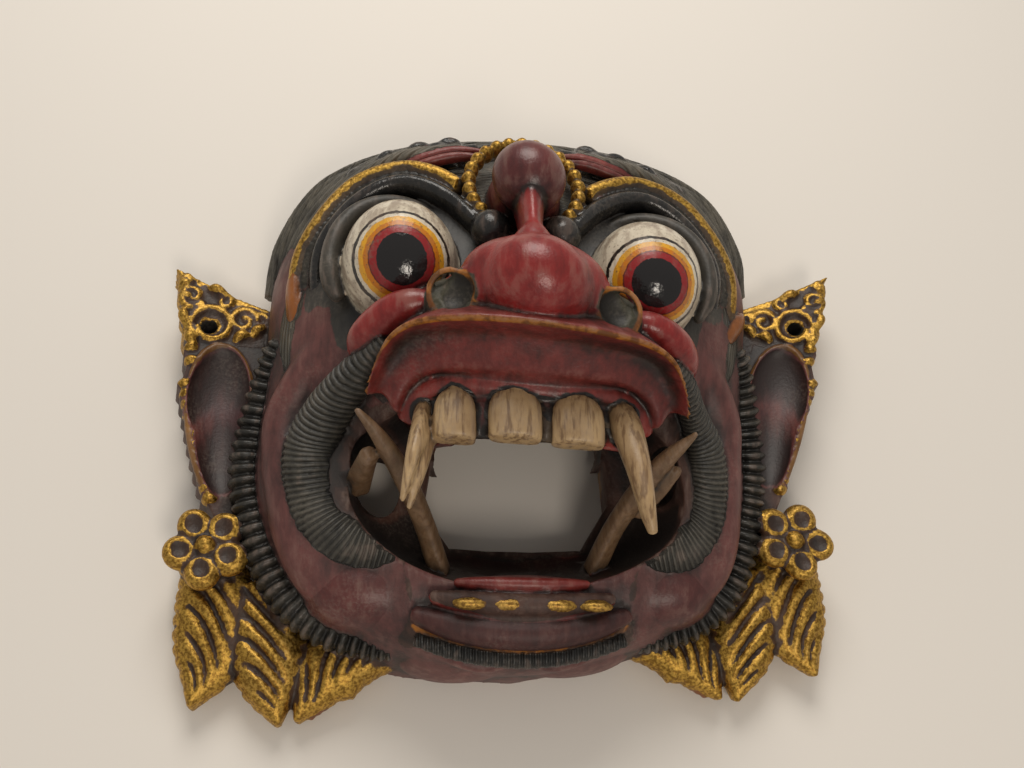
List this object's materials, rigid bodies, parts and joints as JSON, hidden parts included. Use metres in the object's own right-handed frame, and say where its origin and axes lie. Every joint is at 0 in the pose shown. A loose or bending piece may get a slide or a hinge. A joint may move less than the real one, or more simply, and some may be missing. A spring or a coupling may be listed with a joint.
{
  "type": "barong mask",
  "caption": "Carved and painted wooden guardian-beast dance mask with bulging eyes, open fanged mouth, leaf ears and flowers, hollow behind.",
  "frame": {"origin": "middle of the mask's bounding box, on the plane of its flat back rim", "axes": "+Z is the way the face looks, +Y is towards the crown, +X is the right of someone who looks at the face"},
  "size_m": [0.2582, 0.215, 0.118],
  "materials": {
    "painted_wood": "carved wood, painted dark red and black with gold leaf, worn and dusty"
  },
  "bodies": {
    "root": {"mask": "painted_wood"}
  },
  "joints": []
}
